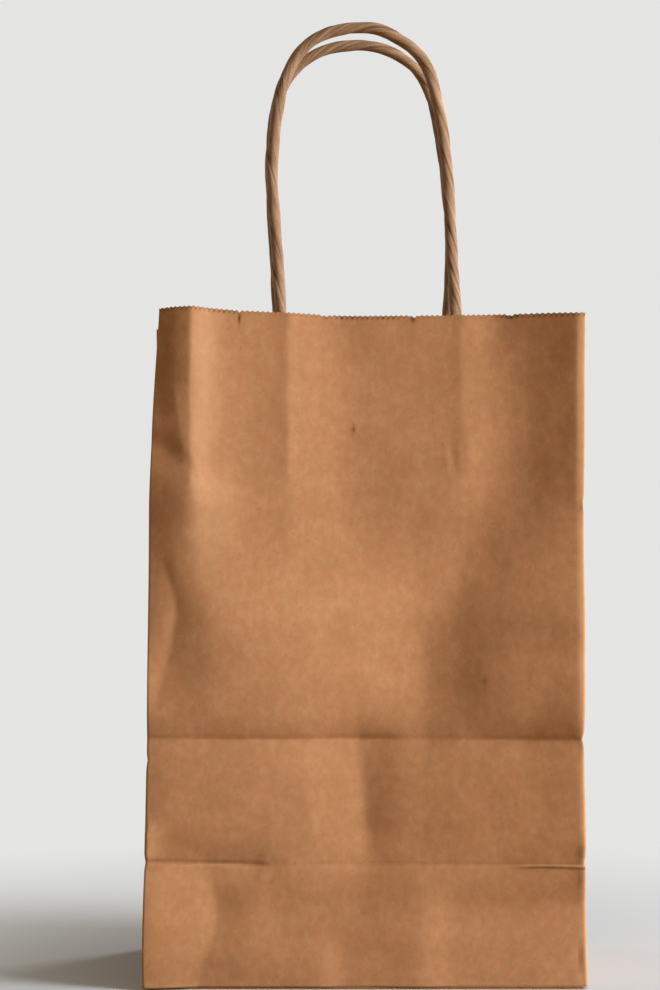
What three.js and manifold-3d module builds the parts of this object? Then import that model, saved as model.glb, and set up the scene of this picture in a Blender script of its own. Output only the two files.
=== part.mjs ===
// Folded kraft paper carrier bag with two twisted paper cord handles, standing open on its block bottom.
// Millimetres, +Z up, the front face towards -Y. The origin is the middle of the base, on the ground.

import * as THREE from 'three';
import { LoftGeometry } from 'three/addons/geometries/LoftGeometry.js';
import { mergeVertices } from 'three/addons/utils/BufferGeometryUtils.js';
import Module from 'manifold-3d';

// Sheet and body of the bag
const PAPER = 0.2;
const BAG_WIDTH = 140;
const BASE_DEPTH = 80;
const PANEL_LENGTH = 215;
const MOUTH_DEPTH = 36;

// How far a face has leaned in where the two creases of the flat-folded bag cross it
const LOWER_CREASE_LEAN = 0.6;
const UPPER_CREASE_LEAN = 2;

// Side gussets: reach and rounding of the centre crease, and the draw-in at the foot of each side
const CREASE_REACH = 0.5;
const CREASE_ROUNDING = 0.3;
const FOOT_DRAW = 0.6;

// Saw-toothed top edge
const TOOTH_PITCH = 1.65;
const TOOTH_DEPTH = 0.8;

// Glued lap down the back face, and the lap of the two bottom flaps
const SEAM_WIDTH = 16;
const SEAM_MIDDLE_X = -42;
const FLAP_LAP = 16;

// Handle cord, and the share of it that is glued in below the top edge
const CORD_DIAMETER = 4;
const LEG_LENGTH = 46;
const HANDLE_BOW = 10;

// Paper patches that hold the handle's legs against the inside of a face
const PATCH_PAPER = 0.2;
const PATCH_WIDTH = 97;
const PATCH_HEIGHT = 52;
const PATCH_BELOW_EDGE = 4;
const FRONT_PATCH_MIDDLE = 2.1;
const BACK_PATCH_MIDDLE = 0;
const GLUE_GAP = 0.3;

// Fineness of the round shapes, and spare lengths that the cuts run past
const CORD_SIDES = 8;
const CORD_STEPS = 44;
const ARC_STEPS = 8;
const LEAN_STEPS = 5;
const TRIM = 2;
const TOOTH_PHASE = 0.75;

// Lengths that follow from the driving sizes
const HALF_WIDTH = BAG_WIDTH / 2;
const HALF_BASE = BASE_DEPTH / 2;
const HALF_MOUTH = MOUTH_DEPTH / 2;
const LOWER_CREASE = BASE_DEPTH / 2;
const UPPER_CREASE = BASE_DEPTH;
const LEAN_RUN = HALF_BASE - UPPER_CREASE_LEAN - HALF_MOUTH;
const LEAN_RISE = Math.sqrt((PANEL_LENGTH - UPPER_CREASE) ** 2 - LEAN_RUN ** 2);
const LEAN_ANGLE = Math.atan2(LEAN_RUN, LEAN_RISE);
const TOP_EDGE = UPPER_CREASE + LEAN_RISE;
const CORD_RADIUS = CORD_DIAMETER / 2;
const LEG_DEPTH = GLUE_GAP + PATCH_PAPER + GLUE_GAP + CORD_RADIUS;

// Route of each handle as seen from the front: [across, rise along the face above the top edge]
const FRONT_LEFT_LEG = -27.3;
const FRONT_RIGHT_LEG = 29.4;
const FRONT_ROUTE = [
  [-28.0, 12.5], [-29.2, 29.9], [-30.2, 45.0], [-29.9, 55.9], [-29.0, 64.6], [-27.1, 74.9],
  [-24.3, 81.5], [-20.4, 87.5], [-16.0, 91.0], [-10.7, 93.3], [-4.0, 94.4], [0.5, 94.5],
  [4.6, 93.9], [8.6, 92.2], [12.8, 89.8], [16.6, 86.7], [19.5, 83.2], [21.6, 78.5],
  [23.1, 72.5], [24.7, 64.7], [26.0, 55.9], [27.2, 41.5], [27.8, 28.5], [28.7, 13.5],
];
const BACK_LEFT_LEG = -28.8;
const BACK_RIGHT_LEG = 28.2;
const BACK_ROUTE = [
  [-29.2, 12.5], [-30.0, 26.0], [-30.8, 42.0], [-31.0, 56.0], [-30.1, 67.5], [-27.9, 76.6],
  [-25.0, 82.0], [-21.4, 86.0], [-17.2, 89.0], [-12.8, 90.9], [-8.4, 92.0], [-3.8, 92.4],
  [0.3, 92.4], [4.2, 91.8], [8.0, 90.6], [11.9, 88.7], [15.9, 85.8], [19.0, 82.3],
  [21.6, 77.5], [24.6, 66.5], [27.0, 52.0], [28.6, 36.0], [29.0, 23.0], [28.6, 11.0],
];

const kraft = new THREE.MeshStandardMaterial({ color: 0xb98a5f, roughness: 0.85, metalness: 0 });
const patchPaper = new THREE.MeshStandardMaterial({ color: 0xbf9268, roughness: 0.88, metalness: 0 });
const cordPaper = new THREE.MeshStandardMaterial({ color: 0xb59272, roughness: 0.8, metalness: 0 });

const wasm = await Module();
wasm.setup();

// A closed three.js geometry as a solid that can be joined and cut
function toSolid(geometry) {
  const bare = new THREE.BufferGeometry().copy(geometry);
  bare.deleteAttribute('normal');
  bare.deleteAttribute('uv');
  const merged = mergeVertices(bare);
  const mesh = new wasm.Mesh({
    numProp: 3,
    vertProperties: new Float32Array(merged.attributes.position.array),
    triVerts: new Uint32Array(merged.index.array),
  });
  return new wasm.Manifold(mesh);
}

function toGeometry(solid) {
  const mesh = solid.getMesh();
  const geometry = new THREE.BufferGeometry();
  geometry.setAttribute('position', new THREE.BufferAttribute(new Float32Array(mesh.vertProperties), 3));
  geometry.setIndex(new THREE.BufferAttribute(new Uint32Array(mesh.triVerts), 1));
  geometry.computeVertexNormals();
  return geometry;
}

function named(name, geometry, material) {
  const mesh = new THREE.Mesh(geometry, material);
  mesh.name = name;
  return mesh;
}

// Half the bag's depth at a height above the upper crease, where the faces lean in evenly
function leaningHalfDepth(height) {
  return HALF_BASE - UPPER_CREASE_LEAN - (height - UPPER_CREASE) * LEAN_RUN / LEAN_RISE;
}

// One level of the bag's outline. Each half of a gusset keeps its width, so the centre crease is
// drawn further in as the faces come together.
function gussetLevel(height, halfDepth) {
  const draw = Math.sqrt(HALF_BASE ** 2 - halfDepth ** 2);
  const reach = CREASE_REACH / halfDepth;
  return {
    height,
    halfDepth,
    foldReach: CREASE_REACH,
    foldDraw: draw * (1 - reach),
    creaseDraw: draw * (1 - CREASE_ROUNDING * reach),
  };
}

// At the foot the folds of a side run out into the corners, so the side starts as a flat triangle
function footLevel(height) {
  return {
    height,
    halfDepth: HALF_BASE,
    foldReach: HALF_BASE - CREASE_REACH,
    foldDraw: FOOT_DRAW / 2,
    creaseDraw: FOOT_DRAW,
  };
}

// Levels from the foot of the walls to a height above the top edge
function bodyLevels(foot, above) {
  const levels = [
    footLevel(foot),
    gussetLevel(LOWER_CREASE, HALF_BASE - LOWER_CREASE_LEAN),
  ];
  for (let i = 0; i <= LEAN_STEPS; i += 1) {
    const height = UPPER_CREASE + LEAN_RISE * i / LEAN_STEPS;
    levels.push(gussetLevel(height, leaningHalfDepth(height)));
  }
  levels.push(gussetLevel(TOP_EDGE + above, leaningHalfDepth(TOP_EDGE + above)));
  return levels;
}

// Outline at one level, counterclockwise from the front left corner
function outline(level) {
  const { halfDepth, foldReach, foldDraw, creaseDraw } = level;
  return [
    new THREE.Vector2(-HALF_WIDTH, -halfDepth),
    new THREE.Vector2(HALF_WIDTH, -halfDepth),
    new THREE.Vector2(HALF_WIDTH - foldDraw, -foldReach),
    new THREE.Vector2(HALF_WIDTH - creaseDraw, 0),
    new THREE.Vector2(HALF_WIDTH - foldDraw, foldReach),
    new THREE.Vector2(HALF_WIDTH, halfDepth),
    new THREE.Vector2(-HALF_WIDTH, halfDepth),
    new THREE.Vector2(-HALF_WIDTH + foldDraw, foldReach),
    new THREE.Vector2(-HALF_WIDTH + creaseDraw, 0),
    new THREE.Vector2(-HALF_WIDTH + foldDraw, -foldReach),
  ];
}

// The outline moved inwards by a thickness, with mitred corners
function inset(points, thickness) {
  const inward = points.map((point, i) => {
    const next = points[(i + 1) % points.length];
    const along = next.clone().sub(point).normalize();
    return new THREE.Vector2(-along.y, along.x);
  });
  return points.map((point, i) => {
    const before = inward[(i + points.length - 1) % points.length];
    const after = inward[i];
    const reach = thickness / (1 + before.dot(after));
    return before.clone().add(after).multiplyScalar(reach).add(point);
  });
}

function loftBody(levels, thickness) {
  const sections = levels.map((level) => {
    const points = inset(outline(level), thickness);
    return points.map((point) => new THREE.Vector3(point.x, point.y, level.height));
  });
  return new LoftGeometry(sections, { capStart: true, capEnd: true });
}

// A flap of the folded bottom: a trapezoid from its base edge to its lap past the middle
function bottomFlap(side, underside, topside) {
  const reach = HALF_BASE + FLAP_LAP / 2;
  const shape = new THREE.Shape();
  shape.moveTo(-HALF_WIDTH, -HALF_BASE);
  shape.lineTo(HALF_WIDTH, -HALF_BASE);
  shape.lineTo(HALF_WIDTH - reach, FLAP_LAP / 2);
  shape.lineTo(-HALF_WIDTH + reach, FLAP_LAP / 2);
  shape.closePath();
  const flap = new THREE.ExtrudeGeometry(shape, { depth: topside - underside, bevelEnabled: false });
  flap.translate(0, 0, underside);
  flap.rotateZ(side > 0 ? Math.PI : 0);
  return flap;
}

// The lap where the sheet's two ends are glued, one paper thickness proud of the back face
function seamLap(foot) {
  const levels = bodyLevels(foot, TRIM);
  const outer = levels.map((level) => new THREE.Vector2(level.halfDepth + PAPER, level.height));
  const inner = levels.map((level) => new THREE.Vector2(level.halfDepth - PAPER / 2, level.height));
  const shape = new THREE.Shape([...outer, ...inner.reverse()]);
  const lap = new THREE.ExtrudeGeometry(shape, { depth: SEAM_WIDTH, bevelEnabled: false });
  // The profile is drawn in depth and height: turn it upright and run it across the width
  lap.rotateX(Math.PI / 2);
  lap.rotateZ(Math.PI / 2);
  lap.translate(SEAM_MIDDLE_X - SEAM_WIDTH / 2, 0, 0);
  return lap;
}

// Everything above the saw-toothed line of the top edge
function toothCutter() {
  const count = Math.round(BAG_WIDTH / TOOTH_PITCH);
  const pitch = BAG_WIDTH / count;
  const start = -HALF_WIDTH - TOOTH_PHASE * pitch;
  const shape = new THREE.Shape();
  shape.moveTo(start, TOP_EDGE - TOOTH_DEPTH);
  for (let i = 0; i <= count; i += 1) {
    shape.lineTo(start + (i + 0.5) * pitch, TOP_EDGE);
    shape.lineTo(start + (i + 1) * pitch, TOP_EDGE - TOOTH_DEPTH);
  }
  shape.lineTo(start + (count + 1) * pitch, TOP_EDGE + 2 * TRIM);
  shape.lineTo(start, TOP_EDGE + 2 * TRIM);
  shape.closePath();
  const cutter = new THREE.ExtrudeGeometry(shape, { depth: BASE_DEPTH, bevelEnabled: false });
  cutter.rotateX(Math.PI / 2);
  cutter.translate(0, HALF_BASE, 0);
  return cutter;
}

// The bag itself: one sheet folded into walls, gussets and a bottom of three layers
function bagSheet() {
  const frontFlapFoot = PAPER;
  const wallFoot = 2 * PAPER;
  const floorTop = 3 * PAPER;
  const outside = toSolid(loftBody(bodyLevels(wallFoot, TRIM), 0));
  const inside = toSolid(loftBody(bodyLevels(floorTop, 2 * TRIM), PAPER));
  const flapTop = wallFoot + PAPER / 2;
  return outside
    .add(toSolid(seamLap(wallFoot)))
    .add(toSolid(bottomFlap(-1, frontFlapFoot, flapTop)))
    .add(toSolid(bottomFlap(1, 0, flapTop)))
    .subtract(inside)
    .subtract(toSolid(toothCutter()));
}

// A handle cord: straight legs down the face, and an arch that bows out of the face's slope
function handleCord(leftLeg, route, rightLeg) {
  const top = Math.max(...route.map((point) => point[1]));
  const legRises = [-LEG_LENGTH, -LEG_LENGTH * 2 / 3, -LEG_LENGTH / 3, 0];
  const points = [
    ...legRises.map((rise) => [leftLeg, rise]),
    ...route,
    ...legRises.reverse().map((rise) => [rightLeg, rise]),
  ];
  const path = new THREE.CatmullRomCurve3(points.map(([across, rise]) => {
    const bow = HANDLE_BOW * (Math.max(rise, 0) / top) ** 1.5;
    return new THREE.Vector3(across, LEG_DEPTH - bow, rise);
  }));
  const section = new THREE.Shape();
  for (let i = 0; i < CORD_SIDES; i += 1) {
    const angle = 2 * Math.PI * i / CORD_SIDES;
    const corner = [CORD_RADIUS * Math.cos(angle), CORD_RADIUS * Math.sin(angle)];
    if (i === 0) section.moveTo(...corner);
    else section.lineTo(...corner);
  }
  section.closePath();
  return new THREE.ExtrudeGeometry(section, { steps: CORD_STEPS, extrudePath: path });
}

// Flat patch glued to the face, behind the legs
function patchBase(middle) {
  const sheet = new THREE.BoxGeometry(PATCH_WIDTH, PATCH_PAPER, PATCH_HEIGHT);
  sheet.translate(middle, GLUE_GAP + PATCH_PAPER / 2, -PATCH_BELOW_EDGE - PATCH_HEIGHT / 2);
  return sheet;
}

// Patch over the legs: flat between them, with a ridge round each leg
function patchCover(middle, legs) {
  const underside = GLUE_GAP + PATCH_PAPER + GLUE_GAP;
  const ridge = CORD_RADIUS + GLUE_GAP;
  const leftEnd = middle - PATCH_WIDTH / 2;
  const rightEnd = middle + PATCH_WIDTH / 2;
  const shape = new THREE.Shape();
  shape.moveTo(leftEnd, underside);
  for (const leg of legs) {
    shape.lineTo(leg - ridge, underside);
    shape.absarc(leg, LEG_DEPTH, ridge, Math.PI, 0, true);
    shape.lineTo(leg + ridge, underside);
  }
  shape.lineTo(rightEnd, underside);
  shape.lineTo(rightEnd, underside + PATCH_PAPER);
  for (const leg of [...legs].reverse()) {
    shape.lineTo(leg + ridge + PATCH_PAPER, underside + PATCH_PAPER);
    shape.absarc(leg, LEG_DEPTH, ridge + PATCH_PAPER, 0, Math.PI, false);
    shape.lineTo(leg - ridge - PATCH_PAPER, underside + PATCH_PAPER);
  }
  shape.lineTo(leftEnd, underside + PATCH_PAPER);
  shape.closePath();
  const sheet = new THREE.ExtrudeGeometry(shape, {
    depth: PATCH_HEIGHT,
    bevelEnabled: false,
    curveSegments: ARC_STEPS,
  });
  // The profile is drawn across the face and away from it: the sheet runs down the face
  sheet.translate(0, 0, -PATCH_BELOW_EDGE - PATCH_HEIGHT);
  return sheet;
}

// Frame of a face's inside at the middle of its top edge: Y away from the face, Z up its slope
function faceGroup() {
  const group = new THREE.Group();
  group.position.set(0, -(HALF_MOUTH - PAPER), TOP_EDGE);
  group.rotation.x = -LEAN_ANGLE;
  return group;
}

function handleGroup(face, leftLeg, route, rightLeg, patchMiddle) {
  const group = faceGroup();
  group.add(named(`${face}_patch_base`, patchBase(patchMiddle), patchPaper));
  group.add(named(`${face}_handle`, handleCord(leftLeg, route, rightLeg), cordPaper));
  const cover = patchCover(patchMiddle, [leftLeg, rightLeg]);
  group.add(named(`${face}_patch_cover`, cover, patchPaper));
  return group;
}

const bag = new THREE.Group();
bag.add(named('bag', toGeometry(bagSheet()), kraft));
bag.add(handleGroup('front', FRONT_LEFT_LEG, FRONT_ROUTE, FRONT_RIGHT_LEG, FRONT_PATCH_MIDDLE));

// The back handle's own frame is turned half round, so its route is read from right to left
const backSide = new THREE.Group();
const turnedRoute = BACK_ROUTE.map(([across, rise]) => [-across, rise]).reverse();
backSide.rotation.z = Math.PI;
backSide.add(handleGroup('back', -BACK_RIGHT_LEG, turnedRoute, -BACK_LEFT_LEG, -BACK_PATCH_MIDDLE));
bag.add(backSide);

export default bag;
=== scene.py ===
# Kraft paper carrier bag with twisted paper cord handles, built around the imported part.
# The front face is towards -Y. Lengths are millimetres until they go into a mesh.

import bmesh
import bpy
import math
import numpy as np
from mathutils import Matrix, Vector


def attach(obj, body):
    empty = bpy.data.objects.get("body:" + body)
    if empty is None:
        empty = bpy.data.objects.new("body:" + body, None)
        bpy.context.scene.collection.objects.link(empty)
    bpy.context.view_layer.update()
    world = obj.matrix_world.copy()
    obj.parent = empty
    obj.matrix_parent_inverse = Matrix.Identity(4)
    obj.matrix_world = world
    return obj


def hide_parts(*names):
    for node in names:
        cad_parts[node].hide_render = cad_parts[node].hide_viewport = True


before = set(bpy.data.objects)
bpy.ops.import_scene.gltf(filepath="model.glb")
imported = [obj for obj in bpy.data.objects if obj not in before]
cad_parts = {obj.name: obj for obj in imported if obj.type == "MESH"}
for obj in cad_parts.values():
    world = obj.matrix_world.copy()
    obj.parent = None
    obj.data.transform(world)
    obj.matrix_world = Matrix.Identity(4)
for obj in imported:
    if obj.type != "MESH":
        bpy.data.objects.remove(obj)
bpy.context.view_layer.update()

MM = 0.001

# Camera, level and square on, as the photograph was taken
CAMERA_PLACE = (-0.0114, -0.890, 0.1558)
CAMERA_LENS = 98.1
CAMERA_SENSOR = 36.0

# Sheet and body of the bag, the same sizes as the part's
PAPER = 0.2
HALF_WIDTH = 70.0
HALF_BASE = 40.0
HALF_MOUTH = 18.0
LOWER_CREASE = 40.0
UPPER_CREASE = 80.0
PANEL_LENGTH = 215.0
LOWER_DEPTH = 39.4
UPPER_DEPTH = 38.0
LEAN_RUN = UPPER_DEPTH - HALF_MOUTH
LEAN_RISE = math.sqrt((PANEL_LENGTH - UPPER_CREASE) ** 2 - LEAN_RUN ** 2)
LEAN_ANGLE = math.atan2(LEAN_RUN, LEAN_RISE)
TOP_EDGE = UPPER_CREASE + LEAN_RISE
GIRTH = 4 * HALF_WIDTH + 4 * HALF_BASE

# Where the faces bend, by length up the sheet, with the height and half the depth there
FACE_BENDS = [0.0, LOWER_CREASE, UPPER_CREASE, PANEL_LENGTH]
FACE_HEIGHTS = [0.0, LOWER_CREASE, UPPER_CREASE, TOP_EDGE]
FACE_DEPTHS = [HALF_BASE, LOWER_DEPTH, UPPER_DEPTH, HALF_MOUTH]

# Side edges of the two faces by height, and where across a face the paper starts to move out to them
EDGE_HEIGHTS = [0, 6, 40, 80, 154, 185, 214]
FRONT_LEFT = [-70.5, -70.8, -70.0, -69.4, -69.6, -68.6, -66.9]
FRONT_RIGHT = [70.2, 70.0, 69.5, 69.0, 70.0, 70.4, 70.8]
BACK_LEFT = [-70.0, -70.0, -70.0, -70.0, -70.1, -70.2, -70.3]
BACK_RIGHT = [70.0, 70.0, 70.0, 70.0, 70.1, 70.2, 70.3]
EDGE_START = 46.0

# Small notches in the front's side edges: (height, depth)
RIGHT_NOTCHES = ((153.0, 0.4), (79.0, 0.5), (40.0, 0.35))
LEFT_NOTCHES = ((72.0, 0.35), (40.0, 0.3))
NOTCH_HALF_HEIGHT = 1.6
NOTCH_START = 67.0

# Top edges that aren't level: places across, and how far the paper is lifted there
FRONT_TOP_PLACES = [-70, -64, -57, -49, -41, -25, -8, 0, 27, 45, 60, 70]
FRONT_TOP_LIFTS = [2.6, 3.1, 3.3, 2.6, 2.0, 1.4, 0.5, 0.4, 0.5, 0.7, 0.9, 0.8]
BACK_TOP_PLACES = [-70, -55, -30, 10, 45, 70]
BACK_TOP_LIFTS = [-1.8, -0.8, 0.1, -0.2, 0.3, 0.2]
TOP_LIFT_START = 140.0

# Saw-toothed top edge, and the sheet's two ends, counted in half teeth from the front's left edge
TOOTH_DEPTH = 0.45
FRONT_HALF_TEETH = 168
HALF_TOOTH = 2 * HALF_WIDTH / FRONT_HALF_TEETH
SHEET_START = -140
SHEET_END = 408

# Seam on the back, where one end of the sheet laps over the other
LAP_HALF_TEETH = 20
LAP_START = -97.0
LAP_EDGE = -100.0
SEAM_STEP = 0.26
SEAM_DROP = 0.03

# Bottom: lift of the walls over the flaps, bend of the foot, and the layers laid on one another
FOOT_LIFT = 0.43
FOOT_LIFT_END = 30.0
FOOT_RADIUS = 0.9
FLAP_REACH = HALF_BASE + 8.0
FLAP_SIDE_INSET = 0.5
FLAP_FOOT_INSET = 0.4
INSIDE_FLOOR_INSET = 0.9
INSIDE_FLOOR_HEIGHT = FOOT_LIFT + 2.2 * PAPER
GUSSET_END_INSET = 1.0
GUSSET_END_HEIGHT = FOOT_LIFT + 4.4 * PAPER
GUSSET_END_RISE = 0.05
GUSSET_END_TAPER = 0.97

# Gussets: swelling of their two halves, drop of the centre fold, and unevenness that ends at the corners
FIRST_SWELL = 1.3
SECOND_SWELL = 0.9
SWELL_START = 30.0
DROP_START = 50.0
FULLY_DRAWN = 120.0
GUSSET_CRUMPLE = 0.5
CRUMPLE_EDGE = 0.25

# Handle cords: size, legs, bow and twist, and the arches' routes as (across, rise above the edge)
CORD_RADIUS = 2.0
FRONT_ARCH_SLIMMER = 0.02
BACK_ARCH_SLIMMER = 0.08
SLIMMER_START = 22.0
SLIMMER_END = 6.0
CORD_DEPTH = 2.8
LEG_LENGTH = 46.0
FREE_RISE = 30.0
HANDLE_BOW = 10.0
BOW_POWER = 1.5
CORD_PITCH = 36.0
CORD_RINGS = 520
CORD_SIDES = 48
FRONT_LEGS = (-27.3, 29.4)
BACK_LEGS = (-28.8, 28.2)
FRONT_ROUTE = [
    (-28.0, 12.5), (-29.2, 29.9), (-30.2, 45.0), (-29.9, 55.9), (-29.0, 64.6), (-27.1, 74.9),
    (-24.3, 81.5), (-20.4, 87.5), (-16.0, 91.0), (-10.7, 93.3), (-4.0, 94.4), (0.5, 94.5),
    (4.6, 93.9), (8.6, 92.2), (12.8, 89.8), (16.6, 86.7), (19.5, 83.2), (21.6, 78.5),
    (23.1, 72.5), (24.7, 64.7), (26.0, 55.9), (27.2, 41.5), (27.8, 28.5), (28.7, 13.5),
]
BACK_ROUTE = [
    (-29.2, 12.5), (-30.0, 26.0), (-30.8, 42.0), (-31.0, 56.0), (-30.1, 67.5), (-27.9, 76.6),
    (-25.0, 82.0), (-21.4, 86.0), (-17.2, 89.0), (-12.8, 90.9), (-8.4, 92.0), (-3.8, 92.4),
    (0.3, 92.4), (4.2, 91.8), (8.0, 90.6), (11.9, 88.7), (15.9, 85.8), (19.0, 82.3),
    (21.6, 77.5), (24.6, 66.5), (27.0, 52.0), (28.6, 36.0), (29.0, 23.0), (28.6, 11.0),
]

# Handle patches on the inside of each face
PATCH_WIDTH = 97.0
PATCH_HEIGHT = 52.0
PATCH_BELOW_EDGE = 4.0
FRONT_PATCH_MIDDLE = 2.1
BACK_PATCH_MIDDLE = 0.0
GLUE_GAP = 0.3
LEG_SKIRT = 1.6
PATCH_CRUMPLE = 0.08
LEG_WEAR = 0.7
PATCH_COLUMNS = 25
PATCH_ROWS = 27
LEG_COLUMNS = 31
LEG_COLUMNS_REACH = 4.5

# Spacing of the ruler that folds are worked out on, its steps to each side of a bend, and a step's least run
RULER = 0.25
FOLD_BEND = 4
LEAST_RUN = 0.3

# Lengths along the sheet where folds are softened: the front's left corner and the two gussets
SOFT_SPANS = ((-2.0, 2.0), (138.0, 222.0), (358.0, 442.0))
SOFT_SPAN_END = 0.7

# Steps over which the corners of a listed line are rounded
CORNER_STEPS = (-5.0, -2.5, 0.0, 2.5, 5.0)

# How quickly a crease falls away from its line, and how crumpled paper is made of waves
CREASE_FALL = 1.7
CRUMPLE_WAVES = 28
CRUMPLE_RIDGES = 0.6


# Smooth helpers on arrays

def ease(share):
    share = np.clip(share, 0.0, 1.0)
    return share * share * (3.0 - 2.0 * share)


def fade(value, start, end):
    return ease((value - start) / (end - start))


def between(value, low, high, soft):
    return fade(value, low - soft, low + soft) * fade(value, high + soft, high - soft)


def bend(offset, soft):
    return 0.5 * (offset + np.sqrt(offset * offset + soft * soft))


# Rises from 0 to 1 over a length, steepest at its start
def spring(offset, length):
    share = np.clip(offset / length, 0.0, 1.0)
    return share * (2.0 - share)


def crease_profile(offset, before, after, tip):
    reach = np.where(offset < 0, before, after)
    away = (np.sqrt(offset * offset + tip * tip) - tip) / reach
    return np.clip(1.0 - away, 0.0, 1.0) ** CREASE_FALL


# A line through a few points, with its corners rounded
def through(value, at, values):
    return sum(np.interp(value + step, at, values) for step in CORNER_STEPS) / len(CORNER_STEPS)


# A ridge (height above 0) or valley (below 0) along a line, from places along it and aside
def crease(along, aside, line_along, line_aside, height, before, after, tip, soft):
    rise = np.interp(along, line_along, height) if isinstance(height, list) else height
    profile = crease_profile(aside - through(along, line_along, line_aside), before, after, tip)
    return rise * profile * between(along, line_along[0], line_along[-1], soft)


# Sum of a face's creases: uprights with their points from low to high, levels from left to right
def creases(x, z, uprights, levels=()):
    relief = 0.0
    for line, *shape in uprights:
        places, heights = zip(*line)
        relief = relief + crease(z, x, heights, places, *shape)
    for line, *shape in levels:
        places, heights = zip(*line)
        relief = relief + crease(x, z, places, heights, *shape)
    return relief


# Gentle unevenness of handled paper: a sum of seeded waves, with soft ridges where it folds over
def crumple(x, z, seed, shortest, longest):
    draw = np.random.default_rng(seed)
    smooth = np.zeros(np.broadcast(x, z).shape)
    ridged = np.zeros(np.broadcast(x, z).shape)
    for number in range(CRUMPLE_WAVES):
        length = shortest * (longest / shortest) ** draw.random()
        turn = draw.uniform(0.0, math.pi)
        phase = draw.uniform(0.0, 2.0 * math.pi)
        wave = np.sin(2.0 * math.pi * (x * math.cos(turn) + z * math.sin(turn)) / length + phase)
        share = length / longest
        if number % 2:
            smooth += share * wave
        else:
            ridged += share * wave
    return (smooth + CRUMPLE_RIDGES * (np.abs(ridged) - 0.5)) / math.sqrt(CRUMPLE_WAVES)


# A face bent along upright lines: height and slope at its left edge, then (place, change of slope, softness)
def bent_face(x, start, slope, bends):
    relief = start + slope * (x + HALF_WIDTH)
    for place, change, soft in bends:
        relief = relief + change * bend(x - place, soft)
    return relief


# Right end of the lower crease
RIGHT_CREASE = [(46, 38.2), (57, 38.7), (64, 38.5), (80, 38.0)]

# Upright creases of the front: (points, height, reach left, reach right, bluntness, softness of the ends)
FRONT_UPRIGHTS = (

    # Ridge on the left strip, pocket beside the left edge, and the bright fold down from the long crease
    ([(-57.6, 163), (-61.9, 187)], 0.4, 6.0, 5.0, 0.5, 4.0),
    ([(-67, 90), (-62, 109), (-60, 122), (-64.8, 133)], -0.5, 6.0, 6.0, 0.3, 4.0),
    ([(-48.5, 104), (-53.5, 130), (-57.2, 158)], [0.7, 1.2, 2.2], 30.0, 30.0, 2.0, 8.0),

    # Pinch where the lower crease's left part ends, its left corner, and a dent at the right of the foot
    ([(-34.0, 31), (-31.2, 40)], 0.2, 3.5, 3.0, 0.8, 3.0),
    ([(-69.5, 40), (-68.5, 51)], 1.6, 1.5, 7.0, 0.5, 3.0),
    ([(68.8, 2), (67.6, 13)], -0.25, 1.6, 1.6, 0.2, 2.0),
)

# Level creases of the front: (points, height, reach down, reach up, bluntness, softness of the ends)
FRONT_LEVELS = (

    # Dent across the left strip
    ([(-76, 175), (-68.4, 172), (-59.6, 165.5), (-56, 164)], -0.75, 9.0, 8.0, 0.4, 2.0),

    # Upper crease, where the bottom's edge lay when the bag was flat
    ([(-80, 79.0), (-20, 78.3), (20, 78.3), (30, 78.3), (80, 78.4)],
     [-1.2, -1.2, -1.0, -0.4, -0.4], 11.0, 8.0, 0.4, 3.0),

    # Lower crease: the wide and the sharp valley of its left part, and its right end
    ([(-80, 40.6), (-50, 39.8), (-31.5, 39.2)], -1.9, 10.0, 13.0, 0.8, 9.0),
    ([(-69, 40.5), (-50, 39.7), (-31.5, 39.0)], -0.20, 1.1, 1.5, 0.1, 2.0),
    (RIGHT_CREASE, [0.1, 0.25, 0.3, 0.3], 0.6, 5.0, 0.15, 6.0),

    # Swelling above the foot at the left
    ([(-80, 11), (-20, 11)], 0.8, 11.0, 14.0, 2.0, 12.0),
)

# Ridges that the handle legs press into the front, and a dent below the right one
FRONT_LEG_UPRIGHTS = (
    ([(-24.8, 160), (-24.8, 230)], 0.22, 4.2, 2.6, 1.0, 3.0),
    ([(31.2, 174), (31.2, 230)], 0.15, 3.0, 3.0, 1.0, 3.0),
    ([(29.0, 163), (27.6, 171)], -0.22, 1.8, 2.2, 0.4, 2.0),
)

# Creases of the back and of its legs, in the same order of values
BACK_UPRIGHTS = (
    ([(38, 96), (44, 170)], 2.0, 18.0, 12.0, 1.0, 14.0),
    ([(-8, 20), (-20, 96)], -1.9, 20.0, 24.0, 1.5, 14.0),
    ([(62, 84), (54, 128), (63, 168)], 1.0, 10.0, 9.0, 0.6, 8.0),
)
BACK_LEVELS = (
    ([(-64, 132), (-30, 120), (-6, 126)], 0.8, 12.0, 9.0, 0.8, 9.0),
    ([(-80, 80.2), (80, 79.8)], -0.9, 6.0, 8.0, 0.4, 3.0),
    ([(-80, 40.2), (80, 39.8)], -0.5, 5.0, 6.0, 0.4, 3.0),
)
BACK_LEG_UPRIGHTS = tuple(([(leg, 160), (leg, 230)], 0.55, 3.0, 3.0, 0.8, 3.0) for leg in BACK_LEGS)


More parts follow.
